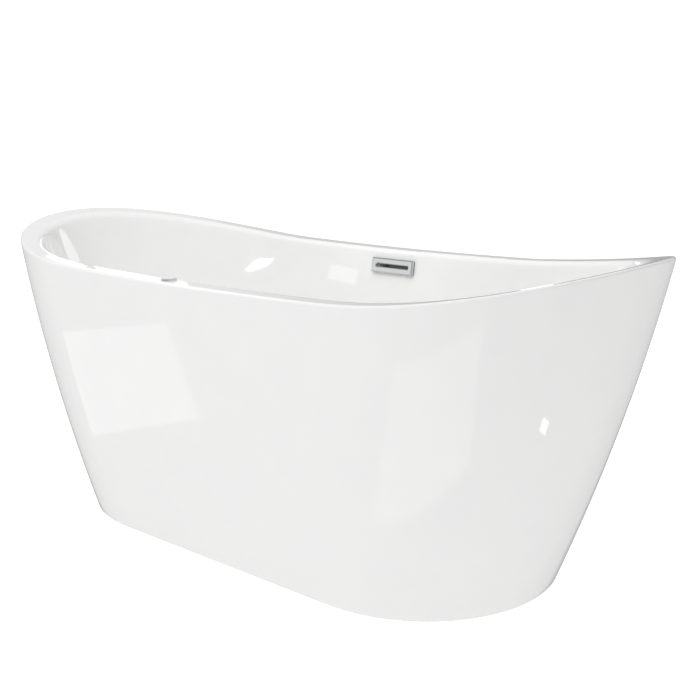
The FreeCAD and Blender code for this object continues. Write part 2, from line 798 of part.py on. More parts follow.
def bracket_screws():
    items = []
    for name, (side_x, side_y) in zip(CORNER_NAMES, CORNERS):
        down = screw(f"foot_screw_{name}", "bracket_thick + skirt_wall - foot_screw_short")
        place(down, f"{side_x} * bracket_x", f"{side_y} * ({SKIRT_SCREW_Y})",
              f"{RETURN_TOP} + bracket_thick")
        across = screw(f"rail_screw_{name}", "bracket_thick + rail_wall + rail_screw_bite")
        place(across, f"{side_x} * bracket_x",
              f"{side_y} * (rail_y + rail_size / 2 + bracket_thick)",
              f"{RAIL_TOP} - rail_size / 2", X_AXIS, -90 * side_y)
        items += [down, across]
    return group("bracket_screws", items)


def board_screws():
    items = []
    for name, (side_x, side_y) in zip(CORNER_NAMES, CORNERS):
        up = screw(f"board_screw_{name}", "rail_size + board_screw_bite")
        place(up, f"{side_x} * board_screw_x", f"{side_y} * rail_y", RAIL_BOTTOM, X_AXIS, 180)
        items.append(up)
    return group("board_screws", items)


# ---------------------------------------------------------------- levelling feet


def foot_pad(label, side_x, side_y):
    body = turned(label, [("0", "0"), ("pad_dia / 2 - pad_edge", "0"), ("pad_dia / 2", "pad_edge"),
                          ("pad_dia / 2", "pad_thick / 2"), ("pad_dia / 4", "pad_thick"),
                          ("0", "pad_thick")],
                  [("0", "pad_thick - pivot_depth"),
                   ("pivot_dia / 2 + thread_clear", "pad_thick - pivot_depth"),
                   ("pivot_dia / 2 + thread_clear", "pad_thick + 1"), ("0", "pad_thick + 1")])
    place(body, f"{side_x} * foot_x", f"{side_y} * rail_y")
    return body


def foot_stem(label, side_x, side_y):
    """A screwed stem with a spanner collar and a pivot that turns in the pad."""
    stem = cylinder(f"{label}_rod", "stem_dia", "stem_length")
    place(stem, z=STEM_FOOT)
    collar = hexagon(f"{label}_collar", "collar_flats", "collar_thick")
    place(collar, z=STEM_FOOT)
    pivot = cylinder(f"{label}_pivot", "pivot_dia", "pivot_depth")
    place(pivot, z=f"{STEM_FOOT} - pivot_depth + seat_clear")
    item = join(label, [stem, collar, pivot])
    place(item, f"{side_x} * foot_x", f"{side_y} * rail_y")
    return keep(item, label)


def foot_nuts(label, thick, bottom):
    """One nut on each stem."""
    items = []
    for name, (side_x, side_y) in zip(CORNER_NAMES, CORNERS):
        blank = hexagon(f"{label}_{name}_blank", "foot_nut_flats", thick)
        bore = cylinder(f"{label}_{name}_bore", "stem_dia + 2 * thread_clear", f"{thick} + 2")
        place(bore, z=-1)
        nut = cut(f"{label}_{name}", blank, bore)
        place(nut, f"{side_x} * foot_x", f"{side_y} * rail_y", bottom)
        items.append(nut)
    return group(label, items)


# ---------------------------------------------------------------- overflow


OVERFLOW_LEAN = wall_lean(basin_wall_y, "overflow_z")


def lean_on_wall(item):
    """Seat a piece against the basin's inside at the overflow's height."""
    place(item, 0, basin_wall_y("overflow_z"), "overflow_z", X_AXIS, -OVERFLOW_LEAN)


def from_wall(y, z):
    """A point of the overflow's own frame, in the tub's frame."""
    lean = math.radians(OVERFLOW_LEAN)
    wall = Vector(0, number(basin_wall_y("overflow_z")), number("overflow_z"))
    return wall + Vector(0, y * math.cos(lean) + z * math.sin(lean),
                         z * math.cos(lean) - y * math.sin(lean))


def oblong(sketch, width, height):
    half_x, half_z = f"({width}) / 2", f"({height}) / 2"
    return polygon(sketch, [(f"-{half_x}", f"-{half_z}"), (half_x, f"-{half_z}"),
                            (half_x, half_z), (f"-{half_x}", half_z)])


def overflow_cover():
    body = new_body("overflow_cover")
    front = oblong(sketch_on(body, "cover_outline", "XZ_Plane", COVER_BACK),
                   "cover_width", "cover_height")
    pad(body, front, "cover_depth")
    hollow = oblong(sketch_on(body, "cover_hollow", "XZ_Plane", COVER_BACK),
                    "cover_width - 2 * cover_wall", "cover_height - 2 * cover_wall")
    pocket(body, hollow, "cover_depth - cover_wall", backwards=True)
    mouth = slot(sketch_on(body, "cover_slot", "XZ_Plane", f"{COVER_BACK} + cover_depth"),
                 "slot_width", "slot_height")
    pocket(body, mouth, "cover_wall * 2")
    doc.recompute()
    face_y = -number(f"{COVER_BACK} + cover_depth")
    rim = number("cover_width") / 2 - 1
    tall = number("cover_height") / 2 - 1
    for name, size, outside in (("cover_bevel", "cover_edge", True),
                                ("mouth_bevel", "slot_bevel", False)):
        base = body.Tip
        chamfer = body.newObject("PartDesign::Chamfer", name)
        chamfer.Base = (base, edges_near(
            base.Shape, lambda edge, at: abs(at.y - face_y) < 0.01
            and (abs(at.x) > rim or abs(at.z) > tall) == outside))
        bind(chamfer, Size=size)
        doc.recompute()
    lean_on_wall(body)
    return body


def overflow_gasket():
    body = new_body("overflow_gasket")
    ring = sketch_on(body, "gasket_outline", "XZ_Plane", "seat_clear")
    oblong(ring, "cover_width - 2 * gasket_inset", "cover_height - 2 * gasket_inset")
    oblong(ring, "cover_width - 2 * gasket_side", "window_height + 2 * gasket_clear")
    pad(body, ring, "gasket_thick")
    lean_on_wall(body)
    return body


def overflow_housing():
    """The box behind the wall that takes the water down to the pipe."""
    body = new_body("overflow_housing")
    flange = oblong(sketch_on(body, "housing_flange", "XZ_Plane", f"-({HOUSING_FRONT})"),
                    "cover_width - 2 * housing_inset", "cover_height - 2 * housing_inset")
    pad(body, flange, "housing_wall", backwards=True)
    chamber = oblong(sketch_on(body, "housing_chamber", "XZ_Plane", f"-({HOUSING_FRONT})"),
                     "window_width + 2 * housing_wall", f"2 * ({CHAMBER_HALF})")
    pad(body, chamber, "housing_wall + housing_depth", backwards=True)
    spigot = circle(sketch_on(body, "housing_spigot", "XY_Plane", f"-({CHAMBER_HALF}) + spigot_root"),
                    "spigot_dia", 0, SPIGOT_Y)
    pad(body, spigot, "spigot_length + spigot_root", backwards=True)
    inside = oblong(sketch_on(body, "housing_inside", "XZ_Plane", f"-({HOUSING_FRONT})"),
                    "window_width", "window_height")
    pocket(body, inside, "housing_depth")
    way = circle(sketch_on(body, "housing_way", "XY_Plane", "0"),
                 "spigot_dia - 2 * spigot_wall", 0, SPIGOT_Y)
    pocket(body, way, f"{CHAMBER_HALF} + spigot_length + 1")
    lean_on_wall(body)
    return body


def bent_path(points, radius):
    """A wire of straight runs joined by tangent arcs of one radius."""
    edges = []
    start = points[0]
    for before, corner, after in zip(points, points[1:], points[2:]):
        back, on = (before - corner).normalize(), (after - corner).normalize()
        turn_angle = math.pi - back.getAngle(on)
        reach = radius * math.tan(turn_angle / 2)
        first, last = corner + back * reach, corner + on * reach
        half_way = (back + on).normalize()
        middle = corner + half_way * (radius / math.cos(turn_angle / 2) - radius)
        edges.append(Part.LineSegment(start, first).toShape())
        edges.append(Part.Arc(first, middle, last).toShape())
        start = last
    edges.append(Part.LineSegment(start, points[-1]).toShape())
    return Part.Wire(edges)


def rod_along(path, start, direction, radius):
    """A round rod swept along a path."""
    section = Part.Wire(Part.makeCircle(radius, start, direction))
    return path.makePipeShell([section], True, False)


def overflow_pipe():
    """The rigid pipe from the overflow's spigot down the cavity to the waste's stub."""
    inner = number("spigot_dia / 2 + pipe_slip")
    outer = inner + number("pipe_wall")
    low = -number(CHAMBER_HALF) - number("spigot_length") + number("pipe_grip")
    centre = number(SPIGOT_Y)
    points = [from_wall(centre, low),
              from_wall(centre, low - number("pipe_run")),
              Vector(0, number("pipe_low_y"), number("stub_z")),
              Vector(0, number("stub_reach - pipe_grip"), number("stub_z"))]
    path = bent_path(points, number("pipe_bend"))
    direction = points[1] - points[0]
    item = doc.addObject("Part::Feature", "overflow_pipe")
    item.Shape = rod_along(path, points[0], direction, outer).cut(
        rod_along(path, points[0], direction, inner))
    return keep(item, "overflow_pipe")


def pipe_collars():
    """A bonded collar round each end of the pipe."""
    items = []
    inner = "spigot_dia / 2 + pipe_slip + pipe_wall"
    for name in ("upper", "lower"):
        band = cylinder(f"{name}_band", f"2 * ({inner} + collar_wall)", "collar_width")
        way = cylinder(f"{name}_way", f"2 * ({inner})", "collar_width + 2")
        place(way, z=-1)
        items.append(cut(f"{name}_collar", band, way))
    upper, lower = items
    bottom = -number(CHAMBER_HALF) - number("spigot_length - collar_back")
    at = from_wall(number(SPIGOT_Y), bottom)
    place(upper, 0, at.y, at.z, X_AXIS, -OVERFLOW_LEAN)
    place(lower, 0, "stub_reach - collar_back", "stub_z", X_AXIS, 90)
    return group("pipe_collars", items)


# ---------------------------------------------------------------- waste


def waste_flange():
    """The chromed outlet in the floor: flange, tail and the spider that guides the plug."""
    tail, bore = "tail_dia / 2", "tail_dia / 2 - tail_wall"
    body = turned("waste_flange", [
        (bore, TAIL_BOTTOM), (tail, TAIL_BOTTOM), (tail, FLANGE_BOTTOM),
        ("flange_dia / 2", FLANGE_BOTTOM), ("flange_dia / 2", f"{FLANGE_TOP} - flange_edge"),
        ("flange_dia / 2 - flange_edge", FLANGE_TOP), (bore, FLANGE_TOP)])
    hub_bottom = f"{FLANGE_BOTTOM} - 2 * hub_length"
    spoke = sketch_on(body, "spoke", "XY_Plane", hub_bottom)
    half = "spoke_width / 2"
    polygon(spoke, [("hub_dia / 2 - 1", f"-{half}"), (f"{bore} + 1", f"-{half}"),
                    (f"{bore} + 1", half), ("hub_dia / 2 - 1", half)])
    arm = pad(body, spoke, "hub_length")
    arms = body.newObject("PartDesign::PolarPattern", "spokes")
    arms.Originals = [arm]
    arms.Axis = (spoke, ["N_Axis"])
    arms.Angle = 360
    arms.Occurrences = 3
    body.Tip = arms
    hub = sketch_on(body, "hub", "XZ_Plane")
    polygon(hub, ring_outline("plug_stem_dia + 2 * thread_clear", "hub_dia", hub_bottom,
                              f"{hub_bottom} + hub_length"))
    turn(body, hub)
    return body


def waste_seal_upper():
    return turned("waste_seal_upper", ring_outline("tail_dia + 2 * seal_clear",
                                                   "flange_dia - 2 * seal_inset",
                                                   "basin_floor", FLANGE_BOTTOM))


def waste_seal_lower():
    return turned("waste_seal_lower", ring_outline("tail_dia + 2 * lower_seal_clear",
                                                   "waste_nut_dia + 2 * lower_seal_spare",
                                                   LOWER_SEAL_BOTTOM, BOARD_TOP))


def waste_lock_nut():
    blank = hexagon("waste_nut_blank", "waste_nut_dia - 2 * waste_nut_inset", "waste_nut_thick")
    bore = cylinder("waste_nut_bore", "tail_dia + 2 * thread_clear", "waste_nut_thick + 2")
    place(bore, z=-1)
    nut = cut("waste_lock_nut", blank, bore)
    place(nut, z=f"{LOWER_SEAL_BOTTOM} - waste_nut_thick")
    return keep(nut, "waste_lock_nut")


def waste_body():
    """The tee below the floor: socket above, outlet below, overflow stub and cable boss."""
    body = new_body("waste_body")
    outlet_end = "tee_bottom - outlet_length"
    turn(body, polygon(sketch_on(body, "tee_outline", "XZ_Plane"), [
        ("0", outlet_end), ("outlet_dia / 2", outlet_end), ("outlet_dia / 2", "tee_bottom"),
        ("tee_dia / 2", "tee_bottom + tee_shoulder"), ("tee_dia / 2", "tee_top"), ("0", "tee_top")]))
    stub = circle(sketch_on(body, "stub_outline", "XZ_Plane"), "spigot_dia", 0, "stub_z")
    pad(body, stub, "stub_reach", backwards=True)
    boss = circle(sketch_on(body, "boss_outline", "XZ_Plane"), "boss_dia", 0, "stub_z")
    pad(body, boss, "boss_reach")
    pipe, neck = f"{GRIPPED} + slip_clear", "tailpiece_dia / 2 - tailpiece_wall"
    grip = f"{outlet_end} + tailpiece_grip"
    socket, chamber = "tail_dia / 2 + slip_clear", "tail_dia / 2 - tail_wall + tee_spare"
    turn(body, polygon(sketch_on(body, "tee_inside", "XZ_Plane"), [
        ("0", f"{outlet_end} - 1"), (pipe, f"{outlet_end} - 1"), (pipe, grip), (neck, grip),
        (neck, "tee_bottom + tee_shoulder - tee_bore_drop"),
        (chamber, "tee_bottom + tee_shoulder + tee_bore_drop"),
        (chamber, f"{TAIL_BOTTOM} - tee_spare"), (socket, f"{TAIL_BOTTOM} - tee_spare"), (socket, "tee_top + 1"),
        ("0", "tee_top + 1")]), cut=True)
    way = circle(sketch_on(body, "stub_way", "XZ_Plane"), "spigot_dia - 2 * spigot_wall",
                 0, "stub_z")
    pocket(body, way, "stub_reach + 1")
    bore = circle(sketch_on(body, "boss_way", "XZ_Plane"), "cable_dia + 2 * cable_slip",
                  0, "stub_z")
    pocket(body, bore, "boss_reach + 1", backwards=True)
    return body


def tailpiece():
    """The pipe below the outlet; its gripped end is slimmer than its free end."""
    free, bore = "tailpiece_dia / 2", "tailpiece_dia / 2 - tailpiece_wall"
    shoulder = f"{OUTLET_NUT_TOP} - outlet_nut_length"
    top = "tee_bottom - outlet_length + tailpiece_grip"
    return turned("tailpiece", [
        (bore, "tailpiece_bottom"), (free, "tailpiece_bottom"), (free, shoulder),
        (GRIPPED, shoulder), (GRIPPED, top), (bore, top)])


def outlet_nut():
    """The slip nut that holds the tailpiece in the outlet."""
    bottom = f"{OUTLET_NUT_TOP} - outlet_nut_length"
    shelf = f"{bottom} + outlet_nut_wall"
    pipe, outlet = f"{GRIPPED} + slip_clear", "outlet_dia / 2 + slip_clear"
    outside = "outlet_nut_dia / 2"
    return turned("outlet_nut", [
        (pipe, bottom), (outside, bottom), (outside, OUTLET_NUT_TOP), (outlet, OUTLET_NUT_TOP),
        (outlet, shelf), (pipe, shelf)])


# ---------------------------------------------------------------- plug


def plug_cap():
    edge = "plug_dia / 2"
    return turned("plug_cap", [
        ("0", PLUG_BOTTOM), (f"{edge} - plug_edge", PLUG_BOTTOM),
        (edge, f"{PLUG_BOTTOM} + plug_edge"),
        (edge, f"{PLUG_BOTTOM} + plug_thick - plug_crown"),
        (f"{edge} - plug_shoulder", f"{PLUG_BOTTOM} + plug_thick - plug_dome"),
        ("plug_dia / 6", f"{PLUG_BOTTOM} + plug_thick"), ("0", f"{PLUG_BOTTOM} + plug_thick")])


def plug_seal():
    return turned("plug_seal", ring_outline("plug_stem_dia", "plug_seal_dia",
                                            PLUG_SEAL_BOTTOM, PLUG_BOTTOM))


def plug_stem():
    rod = cylinder("plug_stem", "plug_stem_dia", "plug_stem_length")
    place(rod, z=f"{PLUG_BOTTOM} - plug_stem_length")
    return keep(rod, "plug_stem")


# ---------------------------------------------------------------- rim button


def at_button(item):
    place(item, "-button_x", BUTTON_Y, BUTTON_RIM)
    return item


def button_housing():
    """The turned sleeve through the rim, with the ring that shows on top."""
    ring, well = "bezel_dia / 2", "button_dia / 2 + button_gap"
    well_floor = "bezel_height + button_proud - button_head - button_travel - button_spare"
    end, neck = "-button_housing_length", "-(rim_thick + seat_clear)"
    cable_way = "cable_dia / 2 + cable_slip"
    return at_button(turned("button_housing", [
        (well, well_floor), (well, "bezel_height"), (f"{ring} - bezel_edge", "bezel_height"),
        (ring, "bezel_height - bezel_edge"), (ring, "bezel_seat"),
        ("housing_neck / 2", "bezel_seat"), ("housing_neck / 2", neck),
        ("housing_tube / 2", neck), ("housing_tube / 2", end), (cable_way, end),
        (cable_way, f"{end} + sleeve_floor"), ("housing_bore / 2", f"{end} + sleeve_floor"),
        ("housing_bore / 2", well_floor)]))


def button_cap():
    top, edge = "bezel_height + button_proud", "button_dia / 2"
    under = f"{top} - button_head"
    stem = "button_stem_dia / 2"
    return at_button(turned("button_cap", [
        ("0", f"{under} - button_stem_length"), (stem, f"{under} - button_stem_length"),
        (stem, under), (edge, under), (edge, f"{top} - button_edge"),
        (f"{edge} - button_edge", top), ("0", top)]))


def button_washer():
    return at_button(turned("button_washer", ring_outline(
        "housing_tube + 2 * washer_clear", "button_nut_flats + 2 * washer_spare",
        "-rim_thick - button_washer_thick",
        "-rim_thick - seat_clear")))


def button_nut():
    blank = hexagon("button_nut_blank", "button_nut_flats", "button_nut_thick")
    bore = cylinder("button_nut_bore", "housing_tube + 2 * thread_clear", "button_nut_thick + 2")
    place(bore, z=-1)
    nut = cut("button_nut", blank, bore)
    place(nut, "-button_x", BUTTON_Y,
          f"{BUTTON_RIM} - rim_thick - button_washer_thick - button_nut_thick")
    return keep(nut, "button_nut")


# ---------------------------------------------------------------- cable gland


def cable_gland():
    """The nut on the waste's boss, through which the control cable enters."""
    blank = hexagon("gland_blank", "gland_dia", "gland_length")
    bore = cylinder("gland_bore", "cable_dia + 2 * cable_slip", "gland_length + 2")
    place(bore, z=-1)
    nut = cut("cable_gland", blank, bore)
    place(nut, 0, "-boss_reach", "stub_z", X_AXIS, 90)
    return keep(nut, "cable_gland")


# ---------------------------------------------------------------- the whole tub


def build():
    outer_skirt()
    inner_basin()
    rim_bond()
    floor_board()
    frame_rail("frame_rail_front", -1)
    frame_rail("frame_rail_back", 1)
    frame_cross("frame_cross_left", -1)
    frame_cross("frame_cross_right", 1)
    for name, (side_x, side_y) in zip(CORNER_NAMES, CORNERS):
        skirt_bracket(f"skirt_bracket_{name}", side_x, side_y)
        foot_pad(f"foot_{name}_pad", side_x, side_y)
        foot_stem(f"foot_{name}_stem", side_x, side_y)
    bracket_screws()
    board_screws()
    foot_nuts("foot_weld_nuts", "weld_nut_thick", f"{RAIL_BOTTOM} - weld_nut_thick")
    foot_nuts("foot_lock_nuts", "lock_nut_thick",
              f"{RAIL_BOTTOM} - weld_nut_thick - lock_nut_thick")
    overflow_cover()
    overflow_gasket()
    overflow_housing()
    overflow_pipe()
    pipe_collars()
    waste_flange()
    waste_seal_upper()
    waste_seal_lower()
    waste_lock_nut()
    waste_body()
    tailpiece()
    outlet_nut()
    plug_cap()
    plug_seal()
    plug_stem()
    button_housing()
    button_cap()
    button_washer()
    button_nut()
    cable_gland()


def check():
    """Stop if any object failed or any piece is not a valid solid."""
    for item in doc.Objects:
        if "Invalid" in item.State or "Error" in item.State:
            raise RuntimeError(f"{item.Name} failed: {item.State}")
    for item in pieces:
        if item.Shape.isNull() or not item.Shape.isValid() or item.Shape.Volume <= 0:
            raise RuntimeError(f"{item.Label} is not a valid solid")


def write():
    os.makedirs("parts", exist_ok=True)
    for item in pieces:
        item.Shape.exportStep(f"parts/{item.Label}.step")


build()
doc.recompute()
check()
write()
print(len(pieces), "pieces")
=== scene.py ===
"""Shells, finishes, light and camera for a freestanding double-slipper bathtub.

The tub's form is worked out in millimetres, and every mesh is in metres in the tub's own frame.
"""

import json
import math

import bmesh
import bpy
from mathutils import Matrix, Vector


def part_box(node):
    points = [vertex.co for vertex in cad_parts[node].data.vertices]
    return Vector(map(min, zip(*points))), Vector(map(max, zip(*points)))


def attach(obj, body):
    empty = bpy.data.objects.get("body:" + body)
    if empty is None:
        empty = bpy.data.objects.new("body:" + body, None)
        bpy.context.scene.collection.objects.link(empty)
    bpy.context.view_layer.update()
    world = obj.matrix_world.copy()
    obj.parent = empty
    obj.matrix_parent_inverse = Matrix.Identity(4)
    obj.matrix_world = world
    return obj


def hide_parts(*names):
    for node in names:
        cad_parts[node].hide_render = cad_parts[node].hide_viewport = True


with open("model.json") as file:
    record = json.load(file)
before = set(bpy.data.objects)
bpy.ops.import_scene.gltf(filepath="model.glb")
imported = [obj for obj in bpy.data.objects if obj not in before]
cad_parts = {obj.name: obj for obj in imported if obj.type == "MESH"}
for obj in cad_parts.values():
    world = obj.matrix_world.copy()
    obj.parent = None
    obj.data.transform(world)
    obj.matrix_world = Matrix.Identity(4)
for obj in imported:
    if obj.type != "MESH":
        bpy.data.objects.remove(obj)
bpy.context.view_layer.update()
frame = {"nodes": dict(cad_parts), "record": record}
nodes = frame["nodes"]

MM = 0.001

# ---------------------------------------------------------------- the tub's form, in millimetres

FLOOR_GAP = 3                # skirt's lower edge above the floor
TOP_PLANE = 728              # where the form's upper outline is drawn
BASE_LENGTH, BASE_WIDTH = 1272, 624
TOP_LENGTH, TOP_WIDTH = 1700, 790
WALL_BOW = 16                # how far the skirt bulges at half height
RIM_BAND = 44                # the rim's level width, on the top plane
BASIN_FLOOR = 165
BASIN_LENGTH, BASIN_WIDTH = 1120, 460
BASIN_BOW = 10
BASIN_WALL = 8
BASIN_ROUND = 60             # between the floor and the walls
RIM_THICK = 10
RIM_OUTER_ROUND = 7
RIM_INNER_ROUND = 16
DRAIN_RADIUS = 26
SKIRT_WALL = 5
SKIRT_FLANGE = 10            # turned in under the rim
SKIRT_RETURN = 30            # turned in at the foot
FOOT_ROUND = 1.5             # round the foot's outer edge
FOOT_MIDWAY = 0.4            # halfway round it, in from both faces
SKIRT_DROP = 12              # skirt's flange below the rim's crest
LIP_DROP = RIM_THICK         # its outer lip closes the joint below the rim
LIP_THICK = 0.8
BOND_INSET = 1               # from the adhesive's edges to the lip's face and the flange's edge
MID_HEIGHT, END_HEIGHT = 637, 721.2
SADDLE_HALF = 333            # half the dip's shallow middle arc
SADDLE_RADIUS = 13760

NOTCH_RADIUS = 18            # in the skirt's flange, round the button's sleeve
NOTCH_LOW, NOTCH_HIGH = 600, 626.2
SLEEVE_RADIUS = 14.3         # hole in the rim for the button's sleeve
SLEEVE_LOW, SLEEVE_HIGH = 610, 660
SCREW_RADIUS = 2.6           # holes in the skirt's foot for the bracket screws
SCREW_FROM_EDGE = 11         # in from the bracket's outer edge
SCREW_HIGH = 12
WINDOW_RADIUS = 10           # round ends of the window behind the overflow's cover
WINDOW_STRETCH = 40          # from its middle to the centre of each end
WINDOW_FRONT, WINDOW_BACK = 20, 30      # how far its cutter reaches from the cover's middle

END_STEPS = 96               # round each half-circle end of the plan
SIDE_STEPS = 64              # along each straight side
PLAN_SOFTENING = 12          # passes that ease the side into the end
CREST_PASSES = 8             # until a height has settled under the sloping crest
DRILL_STEPS = 64


def make_plan():
    """Points round the plan: share along the side, then the outward direction from there.

    The plan is two straight sides with half-round ends, eased where they meet.
    """
    points = []
    for end in (1, -1):
        for step in range(END_STEPS):
            angle = math.pi * step / END_STEPS - end * math.pi / 2
            points.append(Vector((end, math.cos(angle), math.sin(angle))))
        for step in range(SIDE_STEPS):
            share = 1 - 2 * step / SIDE_STEPS
            points.append(Vector((end * share, 0, end)))
    for _ in range(PLAN_SOFTENING):
        points = [(points[i - 1] + 2 * points[i] + points[(i + 1) % len(points)]) / 4
                  for i in range(len(points))]
    return points


PLAN = make_plan()


def between(low, high, share, bow):
    """A size part of the way from low to high, with the wall's bow added."""
    return low * (1 - share) + high * share + 4 * bow * share * (1 - share)


def outer_form(height):
    """Half length and half width of the skirt's outside at a height."""
    share = (height - FLOOR_GAP) / (TOP_PLANE - FLOOR_GAP)
    return (between(BASE_LENGTH / 2, TOP_LENGTH / 2, share, WALL_BOW),
            between(BASE_WIDTH / 2, TOP_WIDTH / 2, share, WALL_BOW))


def basin_form(height, outset=0, bottom=BASIN_FLOOR):
    """Half length and half width of the basin at a height."""
    share = (height - bottom) / (TOP_PLANE - bottom)
    return (between(BASIN_LENGTH / 2, TOP_LENGTH / 2 - RIM_BAND, share, BASIN_BOW) + outset,
            between(BASIN_WIDTH / 2, TOP_WIDTH / 2 - RIM_BAND, share, BASIN_BOW) + outset)


def basin_back(height):
    """Half length and half width of the basin's hidden side at a height."""
    return basin_form(height, BASIN_WALL, BASIN_FLOOR - BASIN_WALL)


def on_plan(point, form, outset=0):
    """Where a plan point falls on an outline, moved outwards by an outset."""
    half_length, half_width = form
    radius = half_width + outset
    return ((half_length - half_width) * point.x + radius * point.y, radius * point.z)


def lean(form, height, endways=0):
    """A wall's lean from upright at a height, for a normal that points so far along the tub."""
    high, low = form(height + 0.5), form(height - 0.5)
    end_slope = (high[0] - high[1]) - (low[0] - low[1])
    return math.atan(high[1] - low[1] + endways * end_slope)


def end_arc():
    """Centre and radius of the steeper arc at each end of the dip."""
    slope = math.asin(SADDLE_HALF / SADDLE_RADIUS)
    start = MID_HEIGHT + SADDLE_RADIUS * (1 - math.cos(slope))
    over, up = TOP_LENGTH / 2 - SADDLE_HALF, END_HEIGHT - start
    radius = (over ** 2 + up ** 2) / (2 * (up * math.cos(slope) - over * math.sin(slope)))
    return SADDLE_HALF - radius * math.sin(slope), start + radius * math.cos(slope), radius


ARC_X, ARC_Z, ARC_RADIUS = end_arc()


def crest(x):
    """Height of the rim's crest over a place along the tub."""
    across = min(abs(x), TOP_LENGTH / 2)
    if across < SADDLE_HALF:
        return MID_HEIGHT + SADDLE_RADIUS - math.sqrt(SADDLE_RADIUS ** 2 - across ** 2)
    return ARC_Z - math.sqrt(ARC_RADIUS ** 2 - (across - ARC_X) ** 2)


def at_height(point, form, height, outset=0):
    x, y = on_plan(point, form(height), outset)
    return Vector((x, y, height)) * MM


def below_crest(point, form, drop, outset=0):
    """The place on a form that lies a drop below the crest above it."""
    height = MID_HEIGHT
    for _ in range(CREST_PASSES):
        height = crest(on_plan(point, form(height), outset)[0]) - drop
    return at_height(point, form, height, outset)


# ---------------------------------------------------------------- mesh helpers


SHARP = math.radians(34)     # steeper edges stay crisp
SAME_PLACE = 1e-6            # points closer than this are merged


def finished(mesh, name, body, slot, material, *replaced):
    """Turn a bmesh into a smooth piece that rides on a body."""
    bmesh.ops.remove_doubles(mesh, verts=mesh.verts, dist=SAME_PLACE)
    bmesh.ops.recalc_face_normals(mesh, faces=mesh.faces)
    for face in mesh.faces:
        face.smooth = True
    for edge in mesh.edges:
        if edge.calc_face_angle(0) > SHARP:
            edge.smooth = False
    data = bpy.data.meshes.new(name)
    mesh.to_mesh(data)
    mesh.free()
    piece = bpy.data.objects.new(name, data)
    bpy.context.scene.collection.objects.link(piece)
    data.materials.append(material)
    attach(piece, body)
    if replaced:
        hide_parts(*replaced)
    return piece


def ring_edges(mesh, ring):
    return [mesh.edges.get((ring[i - 1], ring[i])) for i in range(len(ring))]


def lofted(rows):
    """A closed shell through rows: each row is a function from a plan point to its place."""
    mesh = bmesh.new()
    ring = bmesh.ops.create_circle(mesh, segments=len(PLAN), radius=1)["verts"]
    edges = first = ring_edges(mesh, ring)
    for vert, point in zip(ring, PLAN):
        vert.co = rows[0](point)
    for row in rows[1:]:
        made = bmesh.ops.extrude_edge_only(mesh, edges=edges)["geom"]
        old = {vert for edge in edges for vert in edge.verts}
        links = {}
        for vert in (item for item in made if isinstance(item, bmesh.types.BMVert)):
            below = next(edge.other_vert(vert) for edge in vert.link_edges
                         if edge.other_vert(vert) in old)
            links[below] = vert
        ring = [links[vert] for vert in ring]
        for vert, point in zip(ring, PLAN):
            vert.co = row(point)
        edges = ring_edges(mesh, ring)
    bmesh.ops.bridge_loops(mesh, edges=first + edges)
    return mesh


def cut_away(piece, cutters):
    """Cut shapes out of a piece and keep the result as its mesh."""
    for cutter in cutters:
        step = piece.modifiers.new("cut", "BOOLEAN")
        step.operation = "DIFFERENCE"
        step.solver = "EXACT"
        step.object = cutter
    graph = bpy.context.evaluated_depsgraph_get()
    cut_mesh = bpy.data.meshes.new_from_object(piece.evaluated_get(graph))
    piece.modifiers.clear()
    piece.data = cut_mesh
    for cutter in cutters:
        bpy.data.objects.remove(cutter)


def drill(radius, low, high, stretch=0.0):
    """A round cutter from one point to another, drawn out along X by a stretch each way."""
    mesh = bmesh.new()
    bmesh.ops.create_cone(mesh, cap_ends=True, segments=DRILL_STEPS, radius1=radius,
                          radius2=radius, depth=(high - low).length)
    for vert in mesh.verts:
        vert.co.x += math.copysign(stretch, vert.co.x)
    turn = (high - low).to_track_quat("Z", "Y").to_matrix().to_4x4()
    bmesh.ops.transform(mesh, matrix=Matrix.Translation((low + high) / 2) @ turn,
                        verts=mesh.verts)
    data = bpy.data.meshes.new("cutter")
    mesh.to_mesh(data)
    mesh.free()
    cutter = bpy.data.objects.new("cutter", data)
    bpy.context.scene.collection.objects.link(cutter)
    return cutter


def middle(node):
    """The middle of a node's box."""
    low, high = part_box(node)
    return (low + high) / 2


# ---------------------------------------------------------------- materials


def linear(code):
    """An sRGB hex colour as linear RGBA."""
    parts = [int(code[i:i + 2], 16) / 255 for i in (0, 2, 4)]
    return [c / 12.92 if c <= 0.04045 else ((c + 0.055) / 1.055) ** 2.4 for c in parts] + [1.0]


def add_node(material, kind, links=None, **settings):
    """Add a node, set its inputs or properties by name, and link its inputs."""
    node = material.node_tree.nodes.new(kind)
    for key, value in settings.items():
        label = key.replace("_", " ")
        if label in node.inputs:
            node.inputs[label].default_value = value
        else:
            setattr(node, key, value)
    for label, source in (links or {}).items():
        material.node_tree.links.new(source, node.inputs[label])
    return node


MIX_DARK, MIX_LIGHT, MIXED = 6, 7, 2    # a Mix node's colour sockets


